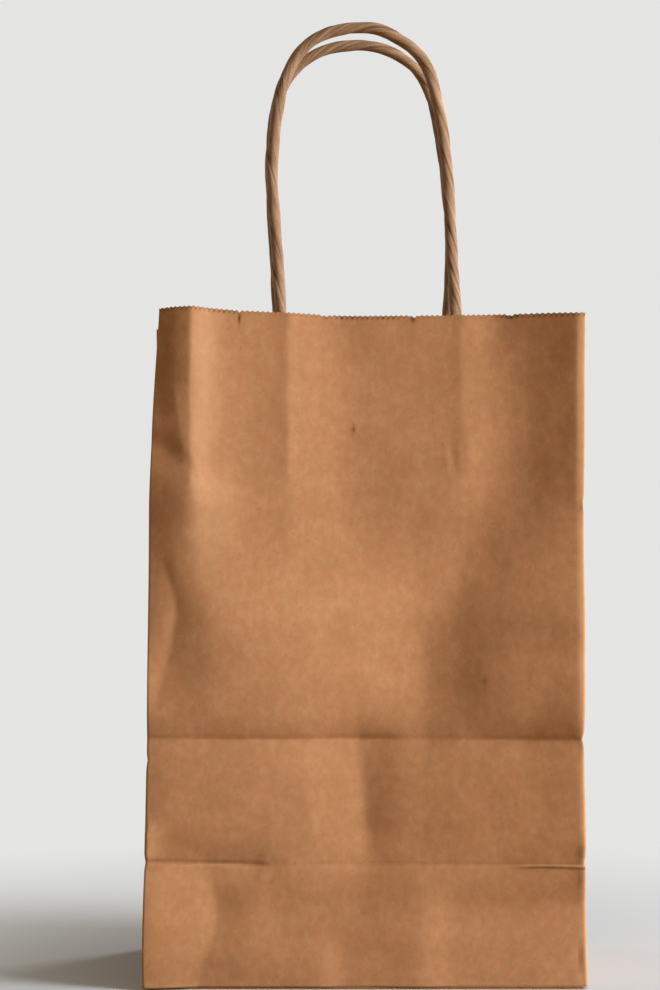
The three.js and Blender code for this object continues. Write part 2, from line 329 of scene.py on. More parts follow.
# Upper part of the front: left corner bent back along a crease, a shallow hollow, and the right side forward
def front_upper(x, z):
    crease_place = np.interp(z, [150, 161, 214], [-55.2, -56.2, -57.2])
    crease_soft = np.interp(z, [146, 158], [8.0, 0.7])
    fold_end = np.interp(z, [142, 154, 166], [-38.5, -41.0, -45.5])
    corner_turn = np.interp(z, [160, 176, 188], [0.03, 0.03, 0.20])
    relief = bent_face(x, 2.7, 0.21, [
        (crease_place, -0.60, crease_soft), (-50.5, 0.16, 2.0), (fold_end, 0.14, 2.0), (-36.0, 0.06, 4.0),
        (-24.5, -0.17, 2.0), (-15.5, 0.04, 4.0), (-8.5, 0.14, 3.5), (-2.0, 0.08, 4.0), (24.0, 0.05, 3.0),
        (34.0, -0.19, 3.0), (39.5, 0.18, 4.0), (47.5, 0.16, 4.0), (54.0, 0.10, 3.0), (67.4, -0.46, 0.6),
    ])
    return relief - corner_turn * bend(-62.5 - x, 2.0)


# Middle part: a long slope down to a valley right of the middle, then forward again to the right edge
def front_middle(x, z):
    pocket = 0.10 * fade(z, 134.0, 116.0)
    shoulder = np.interp(z, [118, 138], [-41.0, -52.0])
    valley = through(z, [80, 110, 135], [18.5, 19.5, 22.0])
    valley_soft = np.interp(z, [100, 130], [2.5, 10.0])
    edge_turn = np.interp(z, [98, 115, 130, 150], [-0.06, 0.08, 0.20, 0.20])
    relief = bent_face(x, 2.9, 0.0, [
        (-60.0, pocket, 2.0), (-49.0, -pocket, 4.0), (shoulder, -0.10, 6.0), (-28.0, -0.065, 6.0),
        (valley, 0.285, valley_soft), (29.5, 0.15, 3.0), (39.5, -0.03, 4.0), (58.5, -0.07, 3.0),
        (68.2, -0.34, 0.5),
    ])
    return relief - edge_turn * bend(-61.0 - x, 1.5)


# Between the two creases: a valley left of the middle
def front_lower(x, z):
    valley = through(z, [42, 77], [0.5, -2.0])
    valley_soft = np.interp(z, [42, 50, 70, 80], [3.0, 1.0, 1.0, 2.5])
    return bent_face(x, 1.4, 0.04, [
        (-64.0, -0.09, 3.0), (-42.0, -0.035, 6.0), (-28.0, -0.11, 6.0), (valley, 0.35, valley_soft),
        (11.0, -0.14, 3.0), (18.0, 0.07, 3.0), (27.5, -0.01, 3.0), (55.0, 0.06, 3.0), (68.6, -0.25, 0.5),
    ])


# Below them: a hollow at the left and a low ridge right of the middle, all flatter towards the foot
def front_bottom(x, z):
    hollow = through(z, [5, 15, 26, 38], [-53.0, -48.5, -46.5, -51.0])
    ridge = np.interp(z, [26, 38], [0.27, 0.10])
    relief = bent_face(x, 3.6, -0.10, [
        (-66.0, -0.19, 3.0), (hollow, 0.31, 0.7), (-37.0, -0.05, 4.0), (-3.0, 0.12, 5.0),
        (18.5, -ridge, 3.0), (27.0, ridge - 0.09, 4.0), (69.0, -0.22, 0.5),
    ])
    relief = relief + 0.8 * fade(x, -24.0, -40.0) * fade(z, 4.0, 22.0)
    return relief * (0.75 + 0.25 * fade(z, 0.0, 30.0))


# Print of a patch glued behind the paper, with its lower edge between two heights
def patch_print(x, z, middle, soft, low, high):
    half = PATCH_WIDTH / 2
    return between(x, middle - half, middle + half, soft) * fade(z, low, high)


# Folds, dents and bends of the front face, as heights out of the flat face
def front_relief(x, z, legs=True):
    upper_crease = through(x, [-70, 0, 70], [79.0, 78.2, 78.4])
    right = fade(x, 20.0, 50.0)
    high = fade(z, 122.0 + 13.0 * right, 163.0 + 20.0 * right)
    above = spring(z - upper_crease, 22.0)
    below = fade(z, 51.0, 24.0)
    relief = front_middle(x, z) * above + front_lower(x, z) * (1.0 - above)
    relief = front_upper(x, z) * high + relief * (1.0 - high)
    relief = front_bottom(x, z) * below + relief * (1.0 - below)
    relief = relief + creases(x, z, FRONT_UPRIGHTS, FRONT_LEVELS)

    # Right side bulging forward in the middle, and the top edge bent forward
    relief += 0.05 * bend(x - 38.0, 4.0) * between(z, 112.0, 142.0, 9.0)
    lip = 0.08 + 0.08 * fade(x, 36.0, 58.0)
    relief += lip * bend(z - 196.0, 4.0) * between(x, -6.0, 76.0, 8.0)

    # Paper stepping forward above the upper crease at the right, and above the lower one from the middle on
    forward = 1.9 * fade(x, 8.0, 40.0) - 0.7 * fade(x, 44.0, 60.0)
    relief += forward * spring(z - upper_crease, 13.0) * fade(z, 150.0, 95.0)
    forward = (0.9 + 0.5 * fade(x, 0.0, 30.0)) * fade(x, -28.0, -16.0)
    relief += forward * spring(z - 39.2, 10.0) * fade(z, 78.0, 50.0)

    # Foot: small folds left of the middle, and paper coming forward right of them
    folded = 0.13 * (bend(x + 7.8, 0.4) - bend(x + 13.5, 1.5)) + 0.3 * fade(x, -6.0, 45.0)
    relief += folded * fade(z, 17.0, 8.0)
    folded = 0.055 * (bend(x + 29.0, 3.0) - bend(x + 16.5, 1.5))
    relief += folded * fade(z, 30.0, 6.0) * fade(x, 45.0, 0.0)

    relief += 0.16 * crumple(x, z, seed=5, shortest=9.0, longest=46.0)
    relief += 0.05 * crumple(x, z, seed=8, shortest=4.0, longest=13.0)
    if legs:
        relief += creases(x, z, FRONT_LEG_UPRIGHTS)
        relief += 0.06 * patch_print(x, z, FRONT_PATCH_MIDDLE, soft=1.2, low=155.0, high=159.0)
    return relief


# The back face is smoother: slow waves, a few handling creases and the handle legs
def back_relief(x, z, legs=True):
    relief = 0.75 * crumple(x, z, seed=11, shortest=16.0, longest=80.0)
    relief += 0.06 * crumple(x, z, seed=12, shortest=4.0, longest=13.0)
    relief += creases(x, z, BACK_UPRIGHTS, BACK_LEVELS)
    if legs:
        relief += creases(x, z, BACK_LEG_UPRIGHTS)
        relief += 0.12 * patch_print(x, z, BACK_PATCH_MIDDLE, soft=0.6, low=156.5, high=158.0)
    return relief


def relief_of(facing):
    return front_relief if facing < 0 else back_relief


# Height above the foot, and half the bag's depth, at a length up the sheet
def wall_height(up):
    return np.interp(up, FACE_BENDS, FACE_HEIGHTS)


def wall_depth(up):
    return np.interp(up, FACE_BENDS, FACE_DEPTHS)


# Places across a face whose paper keeps its length while its surface rises and falls
def drawn_in(relief):
    steps = np.diff(relief, axis=1)
    run = np.sqrt(np.maximum(RULER ** 2 - steps ** 2, (LEAST_RUN * RULER) ** 2))
    along = np.concatenate([np.zeros((len(relief), 1)), np.cumsum(run, axis=1)], axis=1)
    middle = along[:, along.shape[1] // 2]
    return along - middle[:, None]


# How deep the notches of a side edge are at each height
def notch_depth(z, notches):
    return sum(depth * np.exp(-((z - height) / NOTCH_HALF_HEIGHT) ** 2) for height, depth in notches)


# A face on the ruler, towards the front (-1) or the back (1), with its relief
def face_points(up, facing):
    flat = np.arange(-HALF_WIDTH, HALF_WIDTH + RULER / 2, RULER)
    height = wall_height(np.maximum(up, 0.0))
    x = flat[None, :]
    z = height[:, None]
    relief = relief_of(facing)(x, z)
    across = drawn_in(relief)
    depth = wall_depth(np.maximum(up, 0.0))[:, None] + relief
    lifted = np.broadcast_to(z, relief.shape).copy()
    left_edge, right_edge = (FRONT_LEFT, FRONT_RIGHT) if facing < 0 else (BACK_LEFT, BACK_RIGHT)
    left_gap = through(height, EDGE_HEIGHTS, left_edge) - across[:, 0]
    right_gap = through(height, EDGE_HEIGHTS, right_edge) - across[:, -1]
    across = across + left_gap[:, None] * fade(x, -EDGE_START, -HALF_WIDTH)
    across = across + right_gap[:, None] * fade(x, EDGE_START, HALF_WIDTH)
    lift = np.interp(x, BACK_TOP_PLACES, BACK_TOP_LIFTS)
    if facing < 0:
        lift = np.interp(x, FRONT_TOP_PLACES, FRONT_TOP_LIFTS)
        across -= notch_depth(z, RIGHT_NOTCHES) * fade(x, NOTCH_START, HALF_WIDTH)
        across += notch_depth(z, LEFT_NOTCHES) * fade(x, -NOTCH_START, -HALF_WIDTH)
    lifted += lift * fade(up, TOP_LIFT_START, PANEL_LENGTH)[:, None]
    return np.stack([across, facing * depth, lifted], axis=2), relief


# A side gusset between two corner lines: a flat triangle at its foot, a drawn-in centre fold above
def gusset_points(up, first, last, seed):
    count = int(round(2 * HALF_BASE / RULER))
    place = np.linspace(-1.0, 1.0, count + 1)[None, :]
    line = last - first
    points = first[:, None, :] + line[:, None, :] * ((place + 1.0) / 2.0)[:, :, None]
    span = np.linalg.norm(line[:, :2], axis=1)
    half = np.minimum(span / 2.0, HALF_BASE)
    draw = np.sqrt(HALF_BASE ** 2 - half ** 2)
    start = np.interp(LOWER_CREASE, up, draw)
    draw = np.where(up < LOWER_CREASE, start, draw)
    share = 1.0 - np.abs(place)
    foot = np.maximum(up, 0.0)[:, None] / LOWER_CREASE
    share = np.where(foot < 1.0, np.minimum(foot, share), share)
    inward = np.stack([-line[:, 1], line[:, 0]], axis=1) / span[:, None]
    swell = np.sin(math.pi * np.abs(place)) * fade(up, SWELL_START, FULLY_DRAWN)[:, None]
    uneven = crumple(HALF_BASE * place, up[:, None], seed, shortest=14.0, longest=70.0)
    edge = np.clip((1.0 - np.abs(place)) / CRUMPLE_EDGE, 0.0, 1.0)
    inner = draw[:, None] * share - np.where(place < 0, FIRST_SWELL, SECOND_SWELL) * swell
    inner = inner + GUSSET_CRUMPLE * uneven * edge
    points[:, :, :2] += inward[:, None, :] * inner[:, :, None]
    drop = half * math.tan(LEAN_ANGLE) * fade(up, DROP_START, FULLY_DRAWN)
    points[:, :, 2] -= drop[:, None] * share
    return points


# Softens the corners and the gussets' folds, so that paper bends over a small radius
def soften_folds(points):
    total = sum(np.roll(points, step, axis=1) for step in range(-FOLD_BEND, FOLD_BEND + 1))
    soft = total / (2 * FOLD_BEND + 1)
    count = points.shape[1]
    place = np.arange(count) * RULER
    weight = np.zeros(count)
    for low, high in SOFT_SPANS:
        weight = np.maximum(weight, between(place, low, high, SOFT_SPAN_END))
    return points + (soft - points) * weight[None, :, None]


# All four walls on the ruler: front, right gusset, back, left gusset
def fold_walls(up):
    front, front_heights = face_points(up, -1)
    back = face_points(up, 1)[0][:, ::-1]
    right = gusset_points(up, front[:, -1], back[:, 0], seed=21)
    left = gusset_points(up, back[:, -1], front[:, 0], seed=22)
    walls = np.concatenate([front, right[:, 1:], back[:, 1:], left[:, 1:-1]], axis=1)
    walls = soften_folds(walls)

    # The foot turns under in a small bend
    turn = up + FOOT_RADIUS * (math.pi / 2 - 1)
    angle = np.clip(turn / FOOT_RADIUS, 0.0, math.pi / 2)
    inset = FOOT_RADIUS * (1.0 - np.sin(angle)) + np.maximum(-turn, 0.0)
    height = FOOT_RADIUS * (1.0 - np.cos(angle))
    at_foot = up < FOOT_RADIUS
    walls[:, :, 0] *= 1.0 - inset[:, None] / HALF_WIDTH
    walls[:, :, 1] *= 1.0 - inset[:, None] / HALF_BASE
    walls[at_foot, :, 2] = height[at_foot, None]
    walls[:, :, 2] += FOOT_LIFT * (1.0 - fade(up, 0.0, FOOT_LIFT_END))[:, None]
    return walls, front_heights


# Row of the sheet at or below each height up it
def row_below(up, height):
    return np.clip(np.searchsorted(up, height, side="right") - 1, 0, len(up) - 2)


# Reads places off the ruler at any length along the sheet and up it
def read_walls(walls, up, along, height):
    column = np.mod(along, GIRTH) / RULER
    low = np.floor(column).astype(int)
    part = (column - low)[:, None]
    row = row_below(up, height)
    rest = ((height - up[row]) / (up[row + 1] - up[row]))[:, None]
    count = walls.shape[1]
    lower = walls[row, low % count] * (1 - part) + walls[row, (low + 1) % count] * part
    upper = walls[row + 1, low % count] * (1 - part) + walls[row + 1, (low + 1) % count] * part
    return lower * (1 - rest) + upper * rest


# Reads a quantity of the front face off the ruler
def read_front(values, up, along, height):
    column = np.clip(along / RULER, 0, values.shape[1] - 2)
    low = np.floor(column).astype(int)
    part = column - low
    row = row_below(up, height)
    return values[row, low] * (1 - part) + values[row, low + 1] * part


# Upright folds by length along the sheet, how far each is rubbed pale, and how near that starts and is full
FOLD_PLACES = np.array([-80.0, -40.0, 0.0, 140.0, 180.0, 220.0])
FOLD_WEAR = np.array([0.45, 0.3, 1.0, 1.0, 0.3, 0.45])
FOLD_WEAR_START = 1.6
FOLD_WEAR_END = 0.3

# How far the foot is rubbed pale, and the lengths up the sheet where that starts and is full
FOOT_WEAR = 0.8
FOOT_WEAR_START = 2.0
FOOT_WEAR_END = 0.3

# Curvature at which a ridge is rubbed quite pale or a valley painted quite dark as shade, and how dark the
# painted shade in the lower crease is
FULL_CURVE = 0.45
CREASE_SHADE = 0.3

# Small damage on the top edge of the front: (place across, depth, half width)
TOP_NICKS = ((-40.9, 0.4, 0.5), (15.8, 0.5, 0.9), (-13.0, 0.4, 1.6), (46.9, 0.5, 1.0))
NICK_REACH = 9.0

# The two sharpest nicks have their own columns of the sheet
SHARP_NICKS = TOP_NICKS[:2]

# The one large speck on the front: place across and height up the sheet
SPECK_PLACE = (-3.8, 177.7)

# Painted shade on the front at the nicks, the right edge's notches and pinches, and dark specks: (place
# across, height up the sheet, half width, half height, strength)
FRONT_SHADES_AND_SPECKS = (
    (-40.9, 212.6, 0.5, 2.0, 1.1), (15.4, 213.9, 0.8, 1.0, 1.0), (-12.9, 214.4, 0.8, 0.5, 0.8),
    (46.5, 214.3, 2.2, 0.6, 0.9), (69.0, 153.0, 1.1, 2.2, 0.6), (69.0, 76.5, 1.0, 3.6, 0.6),
    (68.0, 43.0, 1.2, 3.2, 0.7), (67.8, 35.0, 1.1, 2.6, 0.6), (67.8, 8.5, 0.9, 4.0, 0.6),
    (*SPECK_PLACE, 0.5, 1.0, 0.9), (38.3, 96.8, 0.8, 1.2, 0.5), (-53.0, 101.0, 7.0, 6.0, 0.08),
)

# Painted highlights on the front, paler places where its folds face the light, in the same order of values
FRONT_HIGHLIGHTS = (
    (-52.0, 190.0, 5.4, 30.0, 0.55), (-50.0, 150.0, 9.0, 22.0, 0.4), (69.4, 190.0, 1.7, 42.0, 0.7),
    (-63.0, 118.0, 2.0, 8.0, 0.4),
)

# Painted shadow in the gaps between the teeth along the front's top edge: how far down it starts and is full,
# and how dark it is across
GAP_START = 1.6
GAP_FULL = 1.1
GAP_PLACES = [-70, -55, -53, -50, -43, -41, -10, -8, 9, 11, 30, 41, 43, 50, 52, 70]
GAP_SHADE = [0.6, 0.6, 0.2, 0.8, 0.8, 0.2, 0.2, 0.9, 0.9, 0.3, 0.1, 0.2, 1.0, 1.0, 0.6, 0.8]

# Painted shadow line just below the right end of the lower crease, under its lip
LINE_PLACES = [40, 48, 52, 58, 66, 70]
SHADOW_LINE_DARKNESS = [0.0, 0.2, 0.75, 0.8, 0.55, 0.7]
LINE_BELOW = 0.25
LINE_HALF_HEIGHT = 0.35


# Rows of the sheet, closer at the foot, the two creases, the speck and the top edge
def sheet_rows():
    return np.concatenate([
        [-2.6, -1.5, -0.8, -0.35, 0.1, 0.5, 0.9, 1.5, 2.4],
        np.arange(4.0, 35.5, 2.0),
        [36.8, 37.4, 37.9, 38.3, 38.7, 39.1, 39.5, 39.9, 40.3, 40.7, 41.2, 42.0, 43.0],
        np.arange(44.8, 76.5, 1.95),
        [77.0, 77.6, 78.1, 78.5, 78.9, 79.4, 80.0, 80.8, 82.2],
        np.arange(84.2, 176.8, 1.85),
        [177.3, 177.9],
        np.arange(178.55, 211.5, 1.85),
        [212.2, 213.2, 214.0, PANEL_LENGTH],
    ])


# Columns of the sheet in half teeth: every one across the front, and closer at the folds, nicks and speck
def sheet_columns():
    front = list(range(0, FRONT_HALF_TEETH + 1))
    others = list(range(SHEET_START, SHEET_END + 1, 4))
    folds = [round(place / HALF_TOOTH) for place in FOLD_PLACES]
    close = [fold + step for fold in folds for step in (-3, -2, -1.5, -1, -0.5, 0, 0.5, 1, 1.5, 2, 3)]
    lap = [SHEET_START + LAP_HALF_TEETH + step for step in (-2, -1, 1, 2)]
    nicks = [half_teeth(nick[0]) + step for nick in SHARP_NICKS for step in (-0.45, 0.0, 0.45)]
    speck = [half_teeth(SPECK_PLACE[0]) + step for step in (-0.35, 0.0, 0.35)]
    return HALF_TOOTH * np.array(sorted(set(front + others + close + lap + nicks + speck)), float)


# Half teeth from the front's left edge to a place across it
def half_teeth(place):
    return (place + HALF_WIDTH) / HALF_TOOTH


# 0 at the tip of each tooth, and 1 in the gaps between them
def in_gap(along):
    return np.abs((along / HALF_TOOTH + 1.0) % 2.0 - 1.0)


def unit_grid(mesh, columns, rows):
    made = bmesh.ops.create_grid(mesh, x_segments=len(columns) - 1, y_segments=len(rows) - 1, size=1.0)
    for vert in made["verts"]:
        column = round((vert.co.x + 1.0) / 2.0 * (len(columns) - 1))
        row = round((vert.co.y + 1.0) / 2.0 * (len(rows) - 1))
        vert.co = (columns[column], rows[row], 0.0)
    return made["verts"]


# Edges bent further than this stay sharp
SHARP_ANGLE = math.radians(60.0)

# The sheet's own map: millimetres it spans, and where the front's lower left corner lies on it
MAP_SPAN = 2 * GIRTH
MAP_ACROSS = 0.3
MAP_UP = 0.05


# One layer of paper in the mesh: a flat ruled sheet, moved to its place and given its thickness
def lay_paper(mesh, columns, rows, place, teeth=False):
    verts = unit_grid(mesh, columns, rows)
    if teeth:
        verts = cut_teeth(mesh, rows[-1])
    faces = list(dict.fromkeys(face for vert in verts for face in vert.link_faces))
    sheet_map = mesh.loops.layers.uv.verify()
    for face in faces:
        for loop in face.loops:
            corner = loop.vert.co
            loop[sheet_map].uv = (corner.x / MAP_SPAN + MAP_ACROSS, corner.y / MAP_SPAN + MAP_UP)
        face.smooth = True
    flat = np.array([vert.co for vert in verts])
    placed, paled, darkened = place(flat[:, 0], flat[:, 1])
    # Each vertex's share of rubbed paper and painted highlight, and of painted shade and specks
    wear_and_highlight = mesh.verts.layers.float["wear_and_highlight"]
    shade_and_specks = mesh.verts.layers.float["shade_and_specks"]
    for vert, point, rubbed_and_highlight, pressed in zip(verts, placed, paled, darkened):
        vert.co = Vector(point) * MM
        vert[wear_and_highlight] = rubbed_and_highlight
        vert[shade_and_specks] = pressed
    mesh.normal_update()
    bmesh.ops.solidify(mesh, geom=faces, thickness=PAPER * MM)


# Splits the top edges so that each half tooth has a vertex, then lowers every second one
def cut_teeth(mesh, top):
    near = 0.01
    for cuts in (3, 1):
        edges = [
            edge for edge in mesh.edges
            if all(abs(end.co.y - top) < near for end in edge.verts)
            and abs(edge.calc_length() / HALF_TOOTH - cuts - 1) < 0.4
        ]
        bmesh.ops.subdivide_edges(mesh, edges=edges, cuts=cuts)
    for vert in mesh.verts:
        if abs(vert.co.y - top) < near:
            vert.co.y -= TOOTH_DEPTH * float(in_gap(vert.co.x))
    return mesh.verts[:]


def new_paper_mesh():
    mesh = bmesh.new()
    mesh.verts.layers.float.new("wear_and_highlight")
    mesh.verts.layers.float.new("shade_and_specks")
    return mesh


def finish_mesh(mesh, name, material):
    data = bpy.data.meshes.new(name)
    mesh.normal_update()
    mesh.to_mesh(data)
    mesh.free()
    data.set_sharp_from_angle(angle=SHARP_ANGLE)
    data.materials.append(material)
    piece = bpy.data.objects.new(name, data)
    bpy.context.scene.collection.objects.link(piece)
    return piece


# The strongest of some soft spots at each place
def spots(x, rows, marks):
    strongest = np.zeros(len(x))
    for place, height, half_width, half_height, strength in marks:
        away = ((x - place) / half_width) ** 2 + ((rows - height) / half_height) ** 2
        strongest = np.maximum(strongest, strength * np.exp(-away))
    return strongest


# Painted shade on the front: in the gaps between teeth, at the nicks, notches and pinches, and along the
# lower crease's right end; and the dark specks
def front_shade_and_specks(along, rows):
    x = along - HALF_WIDTH
    gap_luck = np.random.default_rng(41).uniform(0.7, 1.4, len(x))
    gaps = in_gap(along) * fade(rows, PANEL_LENGTH - GAP_START, PANEL_LENGTH - GAP_FULL)
    gaps = gaps * gap_luck * np.interp(x, GAP_PLACES, GAP_SHADE)
    places, heights = zip(*RIGHT_CREASE)
    away = (rows + LINE_BELOW - through(x, places, heights)) / LINE_HALF_HEIGHT
    line = np.interp(x, LINE_PLACES, SHADOW_LINE_DARKNESS) * np.exp(-away ** 2)
    return np.maximum(np.maximum(gaps, line), spots(x, rows, FRONT_SHADES_AND_SPECKS))


# How far the sheet is made pale: rubbed on ridges, upright folds and the foot, and painted highlights at the
# front's lit places
def sheet_wear_and_highlight(along, rows, curve, on_front):
    near = np.abs(along[:, None] - FOLD_PLACES[None, :])
    paled = (FOLD_WEAR[None, :] * fade(near, FOLD_WEAR_START, FOLD_WEAR_END)).max(axis=1)
    paled = np.maximum(paled, np.clip(-curve / FULL_CURVE, 0.0, 1.0))
    paled = np.maximum(paled, FOOT_WEAR * fade(rows, FOOT_WEAR_START, FOOT_WEAR_END))
    return np.maximum(paled, on_front * spots(along - HALF_WIDTH, rows, FRONT_HIGHLIGHTS))


# An unworn layer of paper, from its places
def plain_layer(x, y, z):
    unworn = np.zeros(len(x))
    return np.stack([x, y, unworn + z], axis=1), unworn, unworn


# A long flap of the bottom, which narrows from the foot of its face
def bottom_flap(side, height):
    def place(columns, rows):
        x = side * columns / HALF_WIDTH * (HALF_WIDTH - FLAP_SIDE_INSET - rows)
        y = side * (HALF_BASE - FLAP_FOOT_INSET - rows)
        return plain_layer(x, y, height)
    return place


# The folded end of a gusset, which narrows to a point on the bottom
def gusset_end(side):
    def place(columns, rows):
        share = rows / HALF_BASE
        y = columns / HALF_BASE * (HALF_BASE - GUSSET_END_INSET) * (1.0 - GUSSET_END_TAPER * share)
        height = GUSSET_END_HEIGHT + GUSSET_END_RISE * share
        return plain_layer(side * (HALF_WIDTH - INSIDE_FLOOR_INSET - rows), side * y, height)
    return place


def inside_floor(columns, rows):
    x = columns / HALF_WIDTH * (HALF_WIDTH - INSIDE_FLOOR_INSET)
    y = rows / HALF_BASE * (HALF_BASE - INSIDE_FLOOR_INSET)
    return plain_layer(x, y, INSIDE_FLOOR_HEIGHT)


def make_bag(material):
    up = sheet_rows()
    walls, relief = fold_walls(up)
    curve = np.gradient(np.gradient(relief, RULER, axis=1), RULER, axis=1)
    curve += np.gradient(np.gradient(relief, up, axis=0), up, axis=0)
    mesh = new_paper_mesh()

    def on_walls(along, rows):
        on_front = (along >= 0) & (along <= 2 * HALF_WIDTH)
        # Painted shade on the front in tooth gaps, at nicks, notches and crease lines, with the dark specks
        pressed = on_front * front_shade_and_specks(along, rows)
        rows = rows.copy()
        near_top = fade(rows, PANEL_LENGTH - NICK_REACH, PANEL_LENGTH)
        for middle, depth, half in TOP_NICKS:
            rows -= depth * near_top * np.exp(-((along - HALF_WIDTH - middle) / half) ** 2)
        points = read_walls(walls, up, along, rows)
        lapped = fade(along, LAP_START, LAP_EDGE)
        points[:, 1] += SEAM_STEP * lapped * fade(rows, -0.5, 2.0)
        points[:, 2] -= SEAM_DROP * lapped * fade(rows, 0.5, -0.5)
        bent = read_front(curve, up, along, rows) * on_front
        # Painted shade in the lower crease's valley
        in_crease = np.clip(bent / FULL_CURVE, 0.0, 1.0) * fade(np.abs(rows - LOWER_CREASE), 3.5, 1.5)
        pressed = np.maximum(pressed, CREASE_SHADE * in_crease)
        return points, sheet_wear_and_highlight(along, rows, bent, on_front), pressed

    lay_paper(mesh, sheet_columns(), up, on_walls, teeth=True)

    # Bottom layers: two long flaps below, an inside floor, and the folded ends of the gussets on it
    long_side = np.linspace(-HALF_WIDTH, HALF_WIDTH, 29)
    short_side = np.linspace(-HALF_BASE, HALF_BASE, 17)
    flap_rows = np.linspace(0.0, FLAP_REACH, 11)
    lay_paper(mesh, long_side, flap_rows, bottom_flap(-1, PAPER))
    lay_paper(mesh, long_side, flap_rows, bottom_flap(1, 0.0))
    lay_paper(mesh, long_side, short_side, inside_floor)
    for side in (-1, 1):
        lay_paper(mesh, short_side, np.linspace(0.0, HALF_BASE, 9), gusset_end(side))
    return finish_mesh(mesh, "kraft_bag", material)


# A place on the inside of a face: across, length up the sheet and distance in from the paper
def inside_face(facing, x, up, inwards):
    small = 0.4

    def surface(across, along):
        height = wall_height(along)
        depth = wall_depth(along) + relief_of(facing)(across, height, legs=False)
        return np.stack([across, facing * depth, height], axis=-1)

    tangent = surface(x + small, up) - surface(x - small, up)
    rising = surface(x, up + small) - surface(x, up - small)
    normal = np.cross(rising, tangent)
    normal = normal / np.linalg.norm(normal, axis=-1, keepdims=True)
    inward = np.where(normal[..., 1:2] * facing < 0, normal, -normal)
    return surface(x, up) + inward * (PAPER + inwards)[..., None]


# Patches that hold the legs: one on the face, one over the legs with a ridge round each
def make_patch(name, facing, middle, legs, over_legs, material):
    half = PATCH_WIDTH / 2
    spread = [np.linspace(middle - half, middle + half, PATCH_COLUMNS)]
    for leg in legs:
        spread.append(leg + np.linspace(-LEG_COLUMNS_REACH, LEG_COLUMNS_REACH, LEG_COLUMNS))
    columns = np.unique(np.round(np.concatenate(spread), 3))
    rows = np.linspace(-PATCH_BELOW_EDGE - PATCH_HEIGHT, -PATCH_BELOW_EDGE, PATCH_ROWS)
    mesh = new_paper_mesh()
    seed = 31 if over_legs else 32
    layers = 2 if over_legs else 1
    flat_gap = layers * (GLUE_GAP + PAPER)
    ridge = CORD_RADIUS + GLUE_GAP + PAPER

    def place(across, along):
        gap = np.full(len(across), flat_gap)
        paled = np.zeros(len(across))
        for leg in legs if over_legs else ():
            offset = np.abs(across - leg)
            dome = CORD_DEPTH + np.sqrt(np.maximum(ridge ** 2 - offset ** 2, 0.0))
            foot = np.clip((ridge + LEG_SKIRT - offset) / LEG_SKIRT, 0.0, 1.0)
            skirt = flat_gap + (CORD_DEPTH - flat_gap) * foot ** 2
            gap = np.maximum(gap, np.where(offset < ridge, dome, skirt))
            paled = np.maximum(paled, LEG_WEAR * fade(offset, 1.6, 0.2))
        gap = gap + PATCH_CRUMPLE * crumple(across, along, seed, shortest=9.0, longest=30.0)
        points = inside_face(facing, across, PANEL_LENGTH + along, gap)
        return points, paled, np.zeros(len(across))

    if facing < 0:
        columns = columns[::-1]
    lay_paper(mesh, columns, rows, place)
    return finish_mesh(mesh, name, material)


# A smooth line through the route's points, evenly spaced, and its length
def smooth_line(points, count):
    points = np.array(points, float)
    gaps = np.linalg.norm(np.diff(points, axis=0), axis=1) ** 0.5
    knots = np.concatenate([[0.0], np.cumsum(gaps)])
    total = len(points)
    system = np.zeros((total, total))
    target = np.zeros((total, 3))
    system[0, 0] = 1.0
    system[-1, -1] = 1.0
    for i in range(1, total - 1):
        before = knots[i] - knots[i - 1]
        after = knots[i + 1] - knots[i]
        system[i, i - 1:i + 2] = (before, 2.0 * (before + after), after)
        target[i] = 6.0 * ((points[i + 1] - points[i]) / after - (points[i] - points[i - 1]) / before)
    bends = np.linalg.solve(system, target)
    fine = np.linspace(0.0, knots[-1], 8 * count)
    part = np.clip(np.searchsorted(knots, fine, side="right") - 1, 0, total - 2)
    width = (knots[part + 1] - knots[part])[:, None]
    left = (knots[part + 1] - fine)[:, None]
    right = (fine - knots[part])[:, None]
    line = (bends[part] * left ** 3 + bends[part + 1] * right ** 3) / (6.0 * width)
    line += (points[part] / width - bends[part] * width / 6.0) * left
    line += (points[part + 1] / width - bends[part + 1] * width / 6.0) * right
    length = length_along(line)
    even = np.linspace(0.0, length[-1], count)
    return np.stack([np.interp(even, length, line[:, i]) for i in range(3)], axis=1), length[-1]


# Length from a line's start to each of its points
def length_along(line):
    gaps = np.linalg.norm(np.diff(line, axis=0), axis=1)
    return np.concatenate([[0.0], np.cumsum(gaps)])


# Centre line of a handle: legs down the inside of the face, and an arch that bows out of its slope
def handle_line(facing, legs, route, count):
    top = max(rise for across, rise in route)
    rises = [-LEG_LENGTH, -LEG_LENGTH * 2 / 3, -LEG_LENGTH / 3, 0.0]
    flat = [(legs[0], rise) for rise in rises] + list(route) + [(legs[1], rise) for rise in rises[::-1]]
    points = []
    for across, rise in flat:
        inwards = CORD_DEPTH - HANDLE_BOW * (max(rise, 0.0) / top) ** BOW_POWER
        depth = HALF_MOUTH - PAPER - inwards * math.cos(LEAN_ANGLE) - rise * math.sin(LEAN_ANGLE)
        height = TOP_EDGE - inwards * math.sin(LEAN_ANGLE) + rise * math.cos(LEAN_ANGLE)
        on_face = np.array([min(height, TOP_EDGE)])
        pressed = relief_of(facing)(np.array([across]), on_face, legs=False)[0]
        depth += pressed * float(fade(rise, FREE_RISE, 0.0))
        points.append((across, facing * depth, height))
    return smooth_line(points, count)


# Directions across the line that don't turn about it
def carried_frames(line):
    along = np.gradient(line, axis=0)
    along /= np.linalg.norm(along, axis=1, keepdims=True)
    side = np.zeros_like(along)
    current = np.array([0.0, 1.0, 0.0])
    for i, direction in enumerate(along):
        current = current - direction * current.dot(direction)
        current = current / np.linalg.norm(current)
        side[i] = current
    return side, np.cross(along, side)


